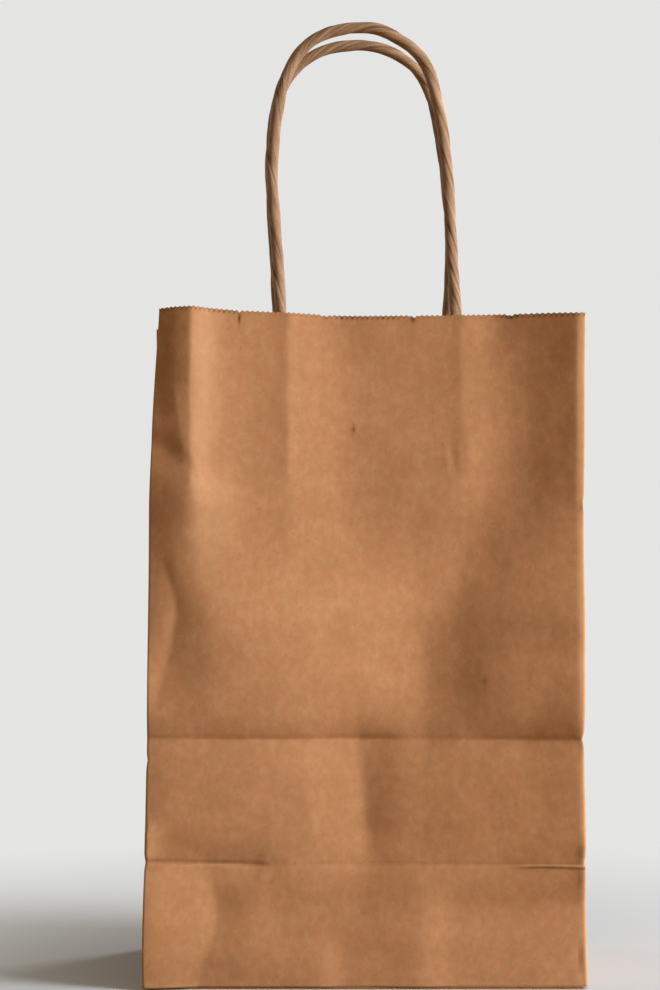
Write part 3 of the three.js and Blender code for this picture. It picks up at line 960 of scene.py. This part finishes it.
# Roundness of the twisted cord: its mean share of the radius, then lobes of (count, share, turn)
CORD_FILL = 0.985
CORD_LOBES = ((2, 0.035, 0.6), (3, 0.02, 1.9))

# Lays of the twisted paper: (place round the cord, depth, width before, width after, slow wander)
CORD_LAYS = (
    (0.3, 0.44, 0.09, 0.55, 0.10), (1.7, 0.16, 0.07, 0.35, 0.22), (2.8, 0.28, 0.08, 0.50, 0.14),
    (4.2, 0.20, 0.07, 0.40, 0.20), (5.2, 0.12, 0.06, 0.30, 0.25),
)

# Depth at which a groove's painted shade is quite dark, and the width of the painted shade line in it
DARK_GROOVE_DEPTH = 0.3
GROOVE_LINE = 0.13

# Slow unevenness along the cord: of its twist, its thickness and each lay, with the lengths it goes over
TWIST_SWAY = 0.5
TWIST_SWAY_LENGTH = 23.0
THICKNESS_SWAY = 0.025
THICKNESS_SWAY_LENGTH = 9.0
LAY_SWAY_LENGTHS = (6.0, 15.0)
LAY_DEPTH_MEAN = 0.6
LAY_DEPTH_SWAY = 0.4
LAY_DEPTH_LENGTHS = (8.0, 22.0)

# How far the strands' noise is stretched along the cord, and the gap that closes it round
STRAND_STRETCH = 0.05
CLOSING_GAP = 1e-7


def make_cord(name, line, slimmer, seed, material):
    side, other = carried_frames(line)
    length = length_along(line)
    draw = np.random.default_rng(seed)

    def slow_wave(spread):
        return np.sin(length[:, None] / spread + draw.uniform(0, 6))

    around = np.linspace(0.0, 2.0 * math.pi, CORD_SIDES + 1)[None, :]
    twist = 2.0 * math.pi * length[:, None] / CORD_PITCH
    lay = around + twist + TWIST_SWAY * slow_wave(TWIST_SWAY_LENGTH)
    lobes = sum(share * np.cos(count * lay + turn) for count, share, turn in CORD_LOBES)
    radius = CORD_RADIUS * (CORD_FILL + lobes)
    radius = radius * (1.0 + THICKNESS_SWAY * slow_wave(THICKNESS_SWAY_LENGTH))
    apex = line[:, 2].max()
    radius = radius * (1.0 - slimmer * fade(line[:, 2], apex - SLIMMER_START, apex - SLIMMER_END))[:, None]
    groove_shade = np.zeros_like(lay)
    for middle, depth, before, after, wander in CORD_LAYS:
        sway = wander * slow_wave(draw.uniform(*LAY_SWAY_LENGTHS))
        strength = LAY_DEPTH_MEAN + LAY_DEPTH_SWAY * slow_wave(draw.uniform(*LAY_DEPTH_LENGTHS))
        offset = np.mod(lay - middle - sway + math.pi, 2.0 * math.pi) - math.pi
        shape = np.exp(-np.abs(offset) / np.where(offset < 0, before, after))
        radius -= depth * strength * shape
        # Painted shade along the bottom of each groove
        darkness = np.clip(depth * strength / DARK_GROOVE_DEPTH, 0, 1)
        groove_shade = np.maximum(groove_shade, darkness * np.exp(-(offset / GROOVE_LINE) ** 2))
    mesh = bmesh.new()
    groove_mark = mesh.verts.layers.float.new("groove_shade")
    strand_mark = mesh.verts.layers.float_vector.new("strand")
    cord_map = mesh.loops.layers.uv.verify()
    made = bmesh.ops.create_grid(mesh, x_segments=len(line) - 1, y_segments=CORD_SIDES, size=1.0)
    for face in mesh.faces:
        face.smooth = True
        for loop in face.loops:
            loop[cord_map].uv = ((loop.vert.co.x + 1.0) / 2.0, (loop.vert.co.y + 1.0) / 2.0)
    for vert in made["verts"]:
        ring = round((vert.co.x + 1.0) / 2.0 * (len(line) - 1))
        spoke = round((vert.co.y + 1.0) / 2.0 * CORD_SIDES)
        angle = around[0, spoke]
        outward = side[ring] * math.cos(angle) + other[ring] * math.sin(angle)
        vert.co = Vector(line[ring] + outward * radius[ring, spoke]) * MM
        vert[groove_mark] = groove_shade[ring, spoke]
        turned = lay[ring, spoke]
        vert[strand_mark] = Vector((math.cos(turned), math.sin(turned), STRAND_STRETCH * length[ring]))
    bmesh.ops.remove_doubles(mesh, verts=mesh.verts[:], dist=CLOSING_GAP)
    ends = [edge for edge in mesh.edges if edge.is_boundary]
    bmesh.ops.holes_fill(mesh, edges=ends, sides=0)
    bmesh.ops.recalc_face_normals(mesh, faces=mesh.faces[:])
    return finish_mesh(mesh, name, material)


# Colours of the papers and the cord, as screen values; pressed is painted shade and specks,
# rubbed_and_highlight is rubbed paper, pale fibres and painted highlights, groove_shade is painted shade in
# the cord's grooves
KRAFT_COLOURS = {
    "dark": (162, 115, 77), "light": (185, 137, 99), "rubbed_and_highlight": (190, 152, 114),
    "pressed": (84, 52, 30), "fleck": (110, 72, 42),
}
PATCH_COLOURS = {
    "dark": (168, 116, 77), "light": (192, 142, 100), "rubbed_and_highlight": (208, 164, 124),
    "pressed": (92, 58, 34), "fleck": (118, 78, 48),
}
CORD_COLOURS = {"dark": (112, 84, 61), "light": (164, 132, 102), "groove_shade": (54, 37, 25)}

# Slight shifts of kraft paper's colour from place to place
RED_TINT = (1.02, 0.98, 0.965, 1.0)
YELLOW_TINT = (0.985, 1.02, 1.03, 1.0)

# How rough each paper is, how far that varies, and how glossy the paper and the cord are
KRAFT_ROUGHNESS = 0.55
PATCH_ROUGHNESS = 0.62
CORD_ROUGHNESS = 0.62
ROUGHNESS_SPREAD = 0.06
PAPER_GLOSS = 0.05
CORD_GLOSS = 0.08

# How strongly pale fibres, dark flecks, rubbed places with painted highlights, painted shade with specks, and
# painted shade in the cord's grooves show
PALE_SHARE = 0.22
FLECK_SHARE = 0.35
WEAR_AND_HIGHLIGHT_SHARE = 0.5
SHADE_AND_SPECK_SHARE = 0.9
GROOVE_SHADE_SHARE = 0.95

# Layers of noise in kraft paper: (scale across, scale up, turn, shift, detail, roughness)
PAPER_NOISE = {
    "cloud": (0.09, 0.07, 0.0, 0.0, 3.0, 0.6),
    "mottle": (0.42, 0.30, 0.0, 0.0, 3.0, 0.62),
    "hue": (0.30, 0.22, 0.0, 37.0, 3.0, 0.65),
    "first_fibres": (1.9, 0.4, 0.35, 0.0, 2.0, 0.55),
    "second_fibres": (1.8, 0.4, -0.8, 11.0, 2.0, 0.55),
    "third_fibres": (1.7, 0.4, 1.4, 23.0, 2.0, 0.55),
    "pale": (1.0, 0.30, 0.15, 53.0, 1.0, 0.5),
    "shive": (1.1, 0.28, 1.0, 71.0, 1.0, 0.5),
}


# A screen colour in linear light
def linear(colour):
    shares = [value / 255.0 for value in colour]
    light = [share / 12.92 if share <= 0.04045 else ((share + 0.055) / 1.055) ** 2.4 for share in shares]
    return (*light, 1.0)


def linear_colours(colours):
    return {part: linear(colour) for part, colour in colours.items()}


def new_node(tree, kind, **settings):
    node = tree.nodes.new(kind)
    for key, value in settings.items():
        setattr(node, key, value)
    return node


# Gives a socket a plain value, or links another node's output to it
def feed(tree, socket, value):
    if isinstance(value, (int, float, tuple)):
        socket.default_value = value
    else:
        tree.links.new(value, socket)


def math_node(tree, operation, first, second, third=0.0, clamp=False):
    node = new_node(tree, "ShaderNodeMath", operation=operation, use_clamp=clamp)
    for socket, value in zip(node.inputs, (first, second, third)):
        feed(tree, socket, value)
    return node.outputs[0]


# Sum of some values, each times its weight
def weighted_sum(tree, *parts):
    total = 0.0
    for value, weight in parts:
        total = math_node(tree, "MULTIPLY_ADD", value, weight, total)
    return total


# A place turned, then scaled and shifted, so that noise runs along the turned direction
def stretched(tree, place, scale, turn=0.0, shift=0.0):
    turned = new_node(tree, "ShaderNodeMapping", vector_type="POINT")
    turned.inputs["Rotation"].default_value = (0.0, 0.0, turn)
    tree.links.new(place, turned.inputs["Vector"])
    node = new_node(tree, "ShaderNodeMapping", vector_type="POINT")
    node.inputs["Scale"].default_value = scale
    node.inputs["Location"].default_value = (shift, shift, 0.0)
    tree.links.new(turned.outputs[0], node.inputs["Vector"])
    return node.outputs[0]


def noise(tree, place, scale, detail, roughness):
    node = new_node(tree, "ShaderNodeTexNoise", noise_dimensions="3D")
    node.inputs["Scale"].default_value = scale
    node.inputs["Detail"].default_value = detail
    node.inputs["Roughness"].default_value = roughness
    tree.links.new(place, node.inputs["Vector"])
    return node.outputs["Fac"]


def remap(tree, value, low, high, out_low=0.0, out_high=1.0):
    node = new_node(tree, "ShaderNodeMapRange", interpolation_type="SMOOTHSTEP")
    for key, number in (("From Min", low), ("From Max", high), ("To Min", out_low), ("To Max", out_high)):
        node.inputs[key].default_value = number
    tree.links.new(value, node.inputs["Value"])
    return node.outputs[0]


def mix_colour(tree, share, first, second, blend="MIX"):
    node = new_node(tree, "ShaderNodeMix", data_type="RGBA", blend_type=blend)
    for key, value in ((0, share), (6, first), (7, second)):
        feed(tree, node.inputs[key], value)
    return node.outputs[2]


def attribute(tree, name, output="Fac"):
    return new_node(tree, "ShaderNodeAttribute", attribute_name=name).outputs[output]


# Colour mixed in by a mask, as far as a share
def lay_over(tree, colour, mask, share, over):
    return mix_colour(tree, math_node(tree, "MULTIPLY", mask, share), colour, over)


def new_material(name):
    material = bpy.data.materials.new(name)
    material.use_nodes = True
    return material, material.node_tree, material.node_tree.nodes["Principled BSDF"]


def add_bump(tree, shader, height, strength, distance):
    bump = new_node(tree, "ShaderNodeBump")
    bump.inputs["Strength"].default_value = strength
    bump.inputs["Distance"].default_value = distance
    tree.links.new(height, bump.inputs["Height"])
    tree.links.new(bump.outputs["Normal"], shader.inputs["Normal"])


# Fibres of kraft paper, from a place on the sheet in millimetres
def paper_fibre_group():
    group = bpy.data.node_groups.new("paper_fibres", "ShaderNodeTree")
    group.interface.new_socket(name="Place", in_out="INPUT", socket_type="NodeSocketVector")
    for name in ("Tone", "Hue", "Fleck", "Pale", "Height"):
        group.interface.new_socket(name=name, in_out="OUTPUT", socket_type="NodeSocketFloat")
    entry = new_node(group, "NodeGroupInput")
    leave = new_node(group, "NodeGroupOutput")
    place = entry.outputs["Place"]
    layers = {}
    for name, (across, up, turn, shift, detail, roughness) in PAPER_NOISE.items():
        layer_place = stretched(group, place, (across, up, 1.0), turn, shift)
        layers[name] = noise(group, layer_place, scale=1.0, detail=detail, roughness=roughness)
    cloud = layers["cloud"]
    mottle = layers["mottle"]
    grain = noise(group, place, scale=2.2, detail=2.0, roughness=0.5)
    fibres = math_node(group, "ADD", layers["first_fibres"], layers["second_fibres"])
    fibres = math_node(group, "ADD", fibres, layers["third_fibres"])
    tone = weighted_sum(group, (mottle, 0.44), (cloud, 0.40), (fibres, 0.06), (grain, 0.02))
    height = weighted_sum(group, (fibres, 0.4), (grain, 0.6), (mottle, 0.8))

    # Dark flecks: round specks where chance has it, and long shives
    specks = new_node(group, "ShaderNodeTexVoronoi", feature="F1", distance="EUCLIDEAN",
                      voronoi_dimensions="2D")
    specks.inputs["Scale"].default_value = 0.16
    group.links.new(place, specks.inputs["Vector"])
    near = remap(group, specks.outputs["Distance"], 0.055, 0.02)
    chance = new_node(group, "ShaderNodeSeparateColor")
    group.links.new(specks.outputs["Color"], chance.inputs[0])
    dark = math_node(group, "MULTIPLY", near, remap(group, chance.outputs[0], 0.45, 0.9))
    dark = math_node(group, "MULTIPLY_ADD", remap(group, layers["shive"], 0.64, 0.80), 0.5, dark)

    group.links.new(tone, leave.inputs["Tone"])
    group.links.new(remap(group, layers["hue"], 0.35, 0.65), leave.inputs["Hue"])
    group.links.new(dark, leave.inputs["Fleck"])
    group.links.new(remap(group, layers["pale"], 0.66, 0.82), leave.inputs["Pale"])
    group.links.new(height, leave.inputs["Height"])
    return group


def paper_material(name, fibres, colours, roughness):
    material, tree, shader = new_material(name)
    colours = linear_colours(colours)
    coordinates = new_node(tree, "ShaderNodeTexCoord")
    sheet = new_node(tree, "ShaderNodeGroup", node_tree=fibres)
    place = stretched(tree, coordinates.outputs["UV"], (MAP_SPAN, MAP_SPAN, 1.0))
    tree.links.new(place, sheet.inputs["Place"])
    tone = remap(tree, sheet.outputs["Tone"], 0.36, 0.86)
    colour = mix_colour(tree, tone, colours["dark"], colours["light"])
    tint = mix_colour(tree, sheet.outputs["Hue"], RED_TINT, YELLOW_TINT)
    colour = mix_colour(tree, 1.0, colour, tint, "MULTIPLY")
    colour = lay_over(tree, colour, sheet.outputs["Pale"], PALE_SHARE, colours["rubbed_and_highlight"])
    colour = lay_over(tree, colour, sheet.outputs["Fleck"], FLECK_SHARE, colours["fleck"])
    # Rubbed paper, and the painted highlights on the front
    colour = lay_over(tree, colour, attribute(tree, "wear_and_highlight"), WEAR_AND_HIGHLIGHT_SHARE, colours["rubbed_and_highlight"])
    # Painted shade in tooth gaps, nicks, notches and creases, and the dark specks
    colour = lay_over(tree, colour, attribute(tree, "shade_and_specks"), SHADE_AND_SPECK_SHARE, colours["pressed"])
    tree.links.new(colour, shader.inputs["Base Color"])
    rough = remap(tree, sheet.outputs["Tone"], 0.4, 1.0,
                  roughness + ROUGHNESS_SPREAD, roughness - ROUGHNESS_SPREAD)
    tree.links.new(rough, shader.inputs["Roughness"])
    shader.inputs["Specular IOR Level"].default_value = PAPER_GLOSS
    add_bump(tree, shader, sheet.outputs["Height"], strength=0.5, distance=0.00006)
    return material


def cord_material():
    material, tree, shader = new_material("paper_cord")
    colours = linear_colours(CORD_COLOURS)
    strand = attribute(tree, "strand", "Vector")
    wide = noise(tree, strand, scale=2.2, detail=3.0, roughness=0.6)
    fine_place = stretched(tree, strand, (9.0, 9.0, 1.6))
    fine = noise(tree, fine_place, scale=1.0, detail=3.0, roughness=0.6)
    coordinates = new_node(tree, "ShaderNodeTexCoord")
    grain = noise(tree, coordinates.outputs["Object"], scale=2600.0, detail=2.0, roughness=0.6)
    tone = weighted_sum(tree, (wide, 0.4), (fine, 0.6), (grain, 0.25))
    colour = mix_colour(tree, remap(tree, tone, 0.46, 0.78), colours["dark"], colours["light"])
    # Painted shade in the cord's grooves
    colour = lay_over(tree, colour, attribute(tree, "groove_shade"), GROOVE_SHADE_SHARE, colours["groove_shade"])
    tree.links.new(colour, shader.inputs["Base Color"])
    shader.inputs["Roughness"].default_value = CORD_ROUGHNESS
    shader.inputs["Specular IOR Level"].default_value = CORD_GLOSS
    height = weighted_sum(tree, (grain, 0.35), (fine, 0.8))
    add_bump(tree, shader, height, strength=0.9, distance=0.00012)
    return material


# Camera and handle cords come first
camera_data = bpy.data.cameras.new("camera")
camera_data.lens = CAMERA_LENS
camera_data.sensor_width = CAMERA_SENSOR
camera = bpy.data.objects.new("camera", camera_data)
camera.location = CAMERA_PLACE
camera.rotation_euler = (math.pi / 2, 0.0, 0.0)
bpy.context.scene.collection.objects.link(camera)
bpy.context.scene.camera = camera

cord_paper = cord_material()
front_line, front_length = handle_line(-1, FRONT_LEGS, FRONT_ROUTE, CORD_RINGS)
back_line, back_length = handle_line(1, BACK_LEGS, BACK_ROUTE, CORD_RINGS)
front_cord = make_cord("front_cord", front_line, FRONT_ARCH_SLIMMER, seed=3, material=cord_paper)
back_cord = make_cord("back_cord", back_line, BACK_ARCH_SLIMMER, seed=4, material=cord_paper)

fibres = paper_fibre_group()
kraft = paper_material("kraft_paper", fibres, KRAFT_COLOURS, KRAFT_ROUGHNESS)
patch_paper = paper_material("patch_paper", fibres, PATCH_COLOURS, PATCH_ROUGHNESS)

bag = make_bag(kraft)
front_base = make_patch("front_patch_behind", -1, FRONT_PATCH_MIDDLE, FRONT_LEGS, False, patch_paper)
front_cover = make_patch("front_patch_over", -1, FRONT_PATCH_MIDDLE, FRONT_LEGS, True, patch_paper)
back_base = make_patch("back_patch_behind", 1, BACK_PATCH_MIDDLE, BACK_LEGS, False, patch_paper)
back_cover = make_patch("back_patch_over", 1, BACK_PATCH_MIDDLE, BACK_LEGS, True, patch_paper)

for piece, node, slot in (
    (bag, "bag", "kraft_paper"),
    (front_cord, "front_handle", "paper_cord"),
    (back_cord, "back_handle", "paper_cord"),
    (front_base, "front_patch_base", "patch_paper"),
    (front_cover, "front_patch_cover", "patch_paper"),
    (back_base, "back_patch_base", "patch_paper"),
    (back_cover, "back_patch_cover", "patch_paper"),
):
    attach(piece, "root")
    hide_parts(node)


# Stage: a pale floor that fades into a pale backdrop, and soft light from the front right

BACKDROP = (0.78, 0.78, 0.77, 1.0)
FLOOR_PALE = (0.44, 0.46, 0.475, 1.0)
FLOOR_BOUNCE = (0.32, 0.20, 0.09, 1.0)
FLOOR_RADIUS = 3.0
FLOOR_SIDES = 96
FLOOR_ROUGHNESS = 0.9
FLOOR_GLOSS = 0.1
FLOOR_FADE_START = 0.07
FLOOR_FADE_END = 0.34
SKY_COLOUR = (1.0, 0.60, 0.24, 1.0)
SKY_STRENGTH = 0.12

# Lamps: (name, place, aim, width, power, colour)
LAMPS = (
    ("key", (1.14, -0.53, 0.54), (0.0, -0.02, 0.12), 0.6, 34.3, (0.97, 1.0, 1.06)),
    ("top", (0.1, -0.35, 1.35), (0.0, 0.0, 0.2), 1.0, 3.5, (1.0, 0.86, 0.56)),
    ("rear", (0.95, 1.0, 0.7), (0.0, 0.02, 0.15), 0.6, 13.0, (1.0, 1.0, 1.0)),
    ("left_rear", (-1.2, 0.45, 0.5), (0.0, 0.02, 0.12), 0.7, 5.0, (1.0, 1.0, 1.0)),
)


# Rays that see the stage's pale colours: the camera's own, and those of gloss and glass
def seeing_rays(tree):
    rays = new_node(tree, "ShaderNodeLightPath")
    gloss = math_node(tree, "ADD", rays.outputs["Is Glossy Ray"], rays.outputs["Is Transmission Ray"])
    return math_node(tree, "ADD", rays.outputs["Is Camera Ray"], gloss, clamp=True)


# Two shaders mixed by a share, on the tree's surface
def mix_surface(tree, share, first, second, output):
    mixed = new_node(tree, "ShaderNodeMixShader")
    tree.links.new(share, mixed.inputs[0])
    tree.links.new(first.outputs[0], mixed.inputs[1])
    tree.links.new(second.outputs[0], mixed.inputs[2])
    tree.links.new(mixed.outputs[0], tree.nodes[output].inputs["Surface"])


def make_floor():
    mesh = bmesh.new()
    bmesh.ops.create_circle(mesh, cap_ends=True, segments=FLOOR_SIDES, radius=FLOOR_RADIUS)
    data = bpy.data.meshes.new("floor")
    mesh.to_mesh(data)
    mesh.free()
    material, tree, shader = new_material("floor")
    shader.inputs["Roughness"].default_value = FLOOR_ROUGHNESS
    shader.inputs["Specular IOR Level"].default_value = FLOOR_GLOSS
    glow = new_node(tree, "ShaderNodeEmission")
    glow.inputs["Color"].default_value = BACKDROP
    seeing = seeing_rays(tree)
    tree.links.new(mix_colour(tree, seeing, FLOOR_BOUNCE, FLOOR_PALE), shader.inputs["Base Color"])
    coordinates = new_node(tree, "ShaderNodeTexCoord")
    distance = new_node(tree, "ShaderNodeVectorMath", operation="LENGTH")
    tree.links.new(coordinates.outputs["Object"], distance.inputs[0])
    far = remap(tree, distance.outputs["Value"], FLOOR_FADE_START, FLOOR_FADE_END)
    mix_surface(tree, math_node(tree, "MULTIPLY", far, seeing), shader, glow, "Material Output")
    data.materials.append(material)
    floor = bpy.data.objects.new("floor", data)
    bpy.context.scene.collection.objects.link(floor)
    return floor


def make_lamp(name, place, aim, width, power, colour):
    data = bpy.data.lights.new(name, "AREA")
    data.color = colour
    data.shape = "DISK"
    data.size = width
    data.energy = power
    lamp = bpy.data.objects.new(name, data)
    lamp.location = place
    lamp.rotation_euler = (Vector(aim) - Vector(place)).to_track_quat("-Z", "Y").to_euler()
    bpy.context.scene.collection.objects.link(lamp)


def make_world():
    world = bpy.data.worlds.new("studio")
    world.use_nodes = True
    tree = world.node_tree
    soft = tree.nodes["Background"]
    soft.inputs["Color"].default_value = SKY_COLOUR
    soft.inputs["Strength"].default_value = SKY_STRENGTH
    seen = new_node(tree, "ShaderNodeBackground")
    seen.inputs["Color"].default_value = BACKDROP
    mix_surface(tree, seeing_rays(tree), soft, seen, "World Output")
    bpy.context.scene.world = world


floor = make_floor()
for lamp in LAMPS:
    make_lamp(*lamp)
make_world()
bpy.context.scene.view_settings.view_transform = "Standard"
